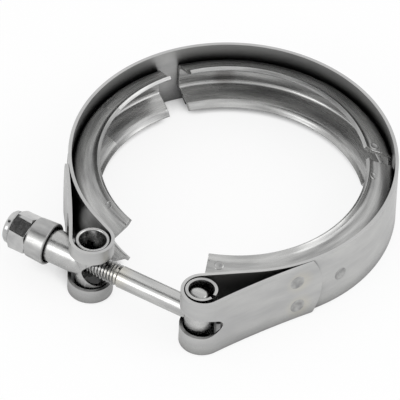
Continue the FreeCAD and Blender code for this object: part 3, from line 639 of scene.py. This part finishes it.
turns = int((THREAD_START - BOLT_END - 0.6) / THREAD_PITCH)
ridge = wire("bolt_thread", [
    (0, 0, 3.28), (0.12, 0, 3.28), (0.53, 0, 3.95), (0.72, 0, 3.95), (1.13, 0, 3.28),
    (1.25, 0, 3.28),
])
bpy.ops.object.mode_set(mode="OBJECT")
apply_modifier(
    ridge, "SCREW", axis="X", angle=math.tau, screw_offset=THREAD_PITCH * MM, iterations=turns,
    steps=40, render_steps=40, use_merge_vertices=True, merge_threshold=0.001 * MM,
)
ridge.location = ((BOLT_END + 0.4) * MM, -LOOP_REACH * MM, 0)
bpy.ops.object.transform_apply(location=True, rotation=True, scale=True)
edit(ridge)
finish_edit(ridge)
shade(ridge, 25)
finish_piece(ridge, thread_steel, "bolt_steel", "bolt")

# Nut end.


def merged_copy(node_name, name):
    """Own copy of a CAD node's mesh, joined up so that it shades smoothly."""
    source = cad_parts[node_name]
    piece = bpy.data.objects.new(name, source.data.copy())
    bpy.context.scene.collection.objects.link(piece)
    piece.data.materials.clear()
    edit(piece)
    bpy.ops.mesh.select_all(action="SELECT")
    bpy.ops.mesh.remove_doubles(threshold=0.002 * MM)
    bpy.ops.object.mode_set(mode="OBJECT")
    shade(piece)
    return piece


# The solid's sleeve is shortened, its mouth for the bolt opened and its rims rounded.

RIM_CUTTER = [
    (6.9, 11.2), (6.21, 11.2), (6.1, 11.6), (5.85, 11.9), (5.5, 12.0), (5.15, 11.9), (4.9, 11.6),
    (4.79, 11.2), (4.2, 11.2), (4.2, 12.8), (6.9, 12.8), (6.9, 11.2),
]
trunnion = merged_copy("trunnion", "trunnion_body")
edit(trunnion)
pick(trunnion, lambda place: place.x < BARREL_X - SLEEVE_LENGTH)
bpy.ops.transform.translate(value=(0.9 * MM, 0, 0))
bpy.ops.object.mode_set(mode="OBJECT")
barrel_axis = Vector((BARREL_X, -LOOP_REACH, 0))
carve(trunnion, cylinder("mouth", 5.8, barrel_axis, barrel_axis + unit(-25) * 12, 128))
for end in (1, -1):
    section = [(radius, end * height) for radius, height in RIM_CUTTER]
    carve(trunnion, turn_up("rim_cutter", section, barrel_axis, 96))
shade(trunnion, 40)
apply_modifier(trunnion, "WEIGHTED_NORMAL", keep_sharp=True)
finish_piece(trunnion, tube_steel, "tube_steel", "trunnion", "trunnion")

COLLAR_BACK = COLLAR_FACE - COLLAR_LENGTH
collar = lathe("collar_cup", [
    (COLLAR_BACK, 4.3), (COLLAR_BACK, 6.9), (COLLAR_FACE - 7.3, 7.45), (COLLAR_FACE - 0.5, 7.85),
    (COLLAR_FACE, 7.6), (COLLAR_FACE, 6.7), (COLLAR_FACE - CUP_DEPTH, 6.5),
    (COLLAR_FACE - CUP_DEPTH, 4.3), (COLLAR_BACK, 4.3),
])
ease_edges(collar, 0.3, 3)
finish_piece(collar, collar_steel, "nut_steel", "collar", "collar")

# The hexagon is turned so that one corner lies at the corner angle from the top, towards -Y.

HEX_LENGTH = 7.3
ACROSS_FLATS = 13.0
CORNER_ANGLE = 59
HEX_BACK = NUT_FACE - HEX_LENGTH
to_corner = ACROSS_FLATS / 2 / math.cos(math.pi / 6)
hexagon = cylinder("nut_hexagon", to_corner, (HEX_BACK, 0, 0), (NUT_FACE, 0, 0), 6)
corner = hexagon.data.vertices[0].co
hexagon.rotation_euler.x = math.radians(CORNER_ANGLE) - math.atan2(-corner.y, corner.z)
bpy.ops.object.transform_apply(location=False, rotation=True, scale=False)
hexagon.location = (0, -LOOP_REACH * MM, 0)
bpy.ops.object.transform_apply(location=True, rotation=False, scale=False)
rise = math.tan(math.radians(30))
chamfer = lathe("nut_chamfer", [
    (HEX_BACK, 0), (HEX_BACK, 6.1), (HEX_BACK + 1.8 * rise, 7.9),
    (NUT_FACE - 1.5 * rise, 7.9), (NUT_FACE, 6.4), (NUT_FACE, 0),
])
carve(hexagon, chamfer, "INTERSECT")
crown = lathe("nut_crown", [
    (NUT_END, 0), (NUT_END, 4.6), (NUT_END + 0.3, 5.5), (NUT_END + 1.1, 6.1), (NUT_END + 2.2, 6.2),
    (NUT_END + 2.8, 5.9), (NUT_FACE - 6, 5.9), (NUT_FACE - 6, 0),
])
carve(hexagon, crown, "UNION")
bore_end = (NUT_FACE + 2, -LOOP_REACH, 0)
carve(hexagon, cylinder("nut_bore", BOLT_RADIUS, (NUT_END - 2, -LOOP_REACH, 0), bore_end))
ease_edges(hexagon, 0.15, 2)
hexagon.name = "lock_nut_body"
finish_piece(hexagon, nut_steel, "nut_steel", "nut", "lock_nut")

# Floor, camera and light.

bpy.ops.object.select_all(action="DESELECT")
bpy.ops.mesh.primitive_plane_add(size=6, location=(0, 0, -(BAND_WIDTH / 2 + 0.3) * MM))
floor = bpy.context.object
floor.name = "floor"

scene = bpy.context.scene
scene.view_settings.view_transform = "Standard"


def shown_white(tree, to_gloss=1.0, to_camera=1.0):
    """How far the camera, gloss and glass see plain white in place of what is lit."""
    path = node(tree, "LightPath")
    sharp = node(tree, "Math", operation="MAXIMUM")
    gloss = node(tree, "Math", operation="MULTIPLY")
    gloss.inputs[1].default_value = to_gloss
    seen = node(tree, "Math", operation="MULTIPLY")
    seen.inputs[1].default_value = to_camera
    either = node(tree, "Math", operation="MAXIMUM")
    link(tree, path.outputs["Is Glossy Ray"], sharp.inputs[0])
    link(tree, path.outputs["Is Transmission Ray"], sharp.inputs[1])
    link(tree, sharp.outputs[0], gloss.inputs[0])
    link(tree, path.outputs["Is Camera Ray"], seen.inputs[0])
    link(tree, gloss.outputs[0], either.inputs[0])
    link(tree, seen.outputs[0], either.inputs[1])
    return either.outputs[0]


# The floor keeps its shadow where the clamp encloses it, such as inside the barrel.

floor_material = bpy.data.materials.new("pale_floor")
floor_material.use_nodes = True
floor_shader = floor_material.node_tree.nodes["Principled BSDF"]
floor_shader.inputs["Base Color"].default_value = (0.9, 0.9, 0.9, 1)
floor_shader.inputs["Roughness"].default_value = 0.9
floor_shader.inputs["Specular IOR Level"].default_value = 0.0
floor_tree = floor_material.node_tree
plain_floor = node(floor_tree, "Emission")
floor_mix = node(floor_tree, "MixShader")
enclosed = node(floor_tree, "AmbientOcclusion")
enclosed.inputs["Distance"].default_value = 20 * MM
shown = node(floor_tree, "Math", operation="MULTIPLY")
link(floor_tree, shown_white(floor_tree, 0.35, 0.85), shown.inputs[0])
link(floor_tree, spread(floor_tree, enclosed.outputs["AO"], 0.0, 1.0, 0.1, 0.4), shown.inputs[1])
link(floor_tree, shown.outputs[0], floor_mix.inputs["Fac"])
link(floor_tree, floor_shader.outputs[0], floor_mix.inputs[1])
link(floor_tree, plain_floor.outputs[0], floor_mix.inputs[2])
link(floor_tree, floor_mix.outputs[0], floor_tree.nodes["Material Output"].inputs["Surface"])
floor.data.materials.append(floor_material)

world = bpy.data.worlds.new("studio")
scene.world = world
world.use_nodes = True
tree = world.node_tree
soft = tree.nodes["Background"]
soft.inputs["Color"].default_value = (1, 1, 1, 1)
soft.inputs["Strength"].default_value = 0.95
plain = node(tree, "Background")
plain.inputs["Color"].default_value = (1, 1, 1, 1)
plain.inputs["Strength"].default_value = 1.0
mix = node(tree, "MixShader")
link(tree, shown_white(tree), mix.inputs["Fac"])
link(tree, soft.outputs[0], mix.inputs[1])
link(tree, plain.outputs[0], mix.inputs[2])
link(tree, mix.outputs[0], tree.nodes["World Output"].inputs["Surface"])


def lamp(name, place, size, power):
    """Soft square lamp at a place, turned to the ring."""
    data = bpy.data.lights.new(name, "AREA")
    data.size = size
    data.energy = power
    made = bpy.data.objects.new(name, data)
    scene.collection.objects.link(made)
    made.location = place
    made.rotation_euler = Vector(place).to_track_quat("Z", "Y").to_euler()
    return made


lamp("key", (-0.4, -0.95, 0.4), 0.5, 1.7)
lamp("fill", (0.8, 0.3, 0.6), 0.7, 2)


def dark_card(name, place, length, width):
    """A dark sheet above the clamp that only the clamp's gloss shows, with its length along X."""
    bpy.ops.mesh.primitive_plane_add(size=1, location=place)
    card = bpy.context.object
    card.name = name
    card.scale = (length, width, 1)
    away = Vector(place).normalized()
    side = away.cross(Vector((1, 0, 0))).normalized()
    card.rotation_euler = Matrix((side.cross(away), side, away)).transposed().to_euler()
    material = bpy.data.materials.new(name)
    material.use_nodes = True
    shader = material.node_tree.nodes["Principled BSDF"]
    shader.inputs["Base Color"].default_value = (0.1, 0.1, 0.1, 1)
    shader.inputs["Specular IOR Level"].default_value = 0.0
    card.data.materials.append(material)
    card.visible_camera = False
    card.visible_diffuse = False
    card.visible_shadow = False


dark_card("side_card", (-0.347, -0.304, 0.71), 0.7, 0.24)

# The photograph's view: a long lens, its direction, its small roll and the ring's place in it.

AZIMUTH = math.radians(29.874)
ELEVATION = math.radians(44.305)
ROLL = math.radians(2.711)
PIXELS_PER_MM = 2.7976
ASIDE = -11.568
ABOVE = -6.966
DISTANCE = 3.0

across = Vector((math.cos(AZIMUTH), math.sin(AZIMUTH), 0))
upward = Vector((
    -math.sin(ELEVATION) * math.sin(AZIMUTH),
    math.sin(ELEVATION) * math.cos(AZIMUTH),
    math.cos(ELEVATION),
))
right = across * math.cos(ROLL) + upward * math.sin(ROLL)
top = upward * math.cos(ROLL) - across * math.sin(ROLL)
back = right.cross(top)
centre = right * ASIDE + top * ABOVE
camera_data = bpy.data.cameras.new("camera")
camera_data.sensor_width = 36
camera_data.lens = 36 * DISTANCE / (400 / PIXELS_PER_MM * MM)
camera = bpy.data.objects.new("camera", camera_data)
scene.collection.objects.link(camera)
camera.location = centre * MM + back * DISTANCE
camera.rotation_euler = Matrix((right, top, back)).transposed().to_euler()
camera_data.clip_start = 0.1
camera_data.clip_end = 30
scene.camera = camera
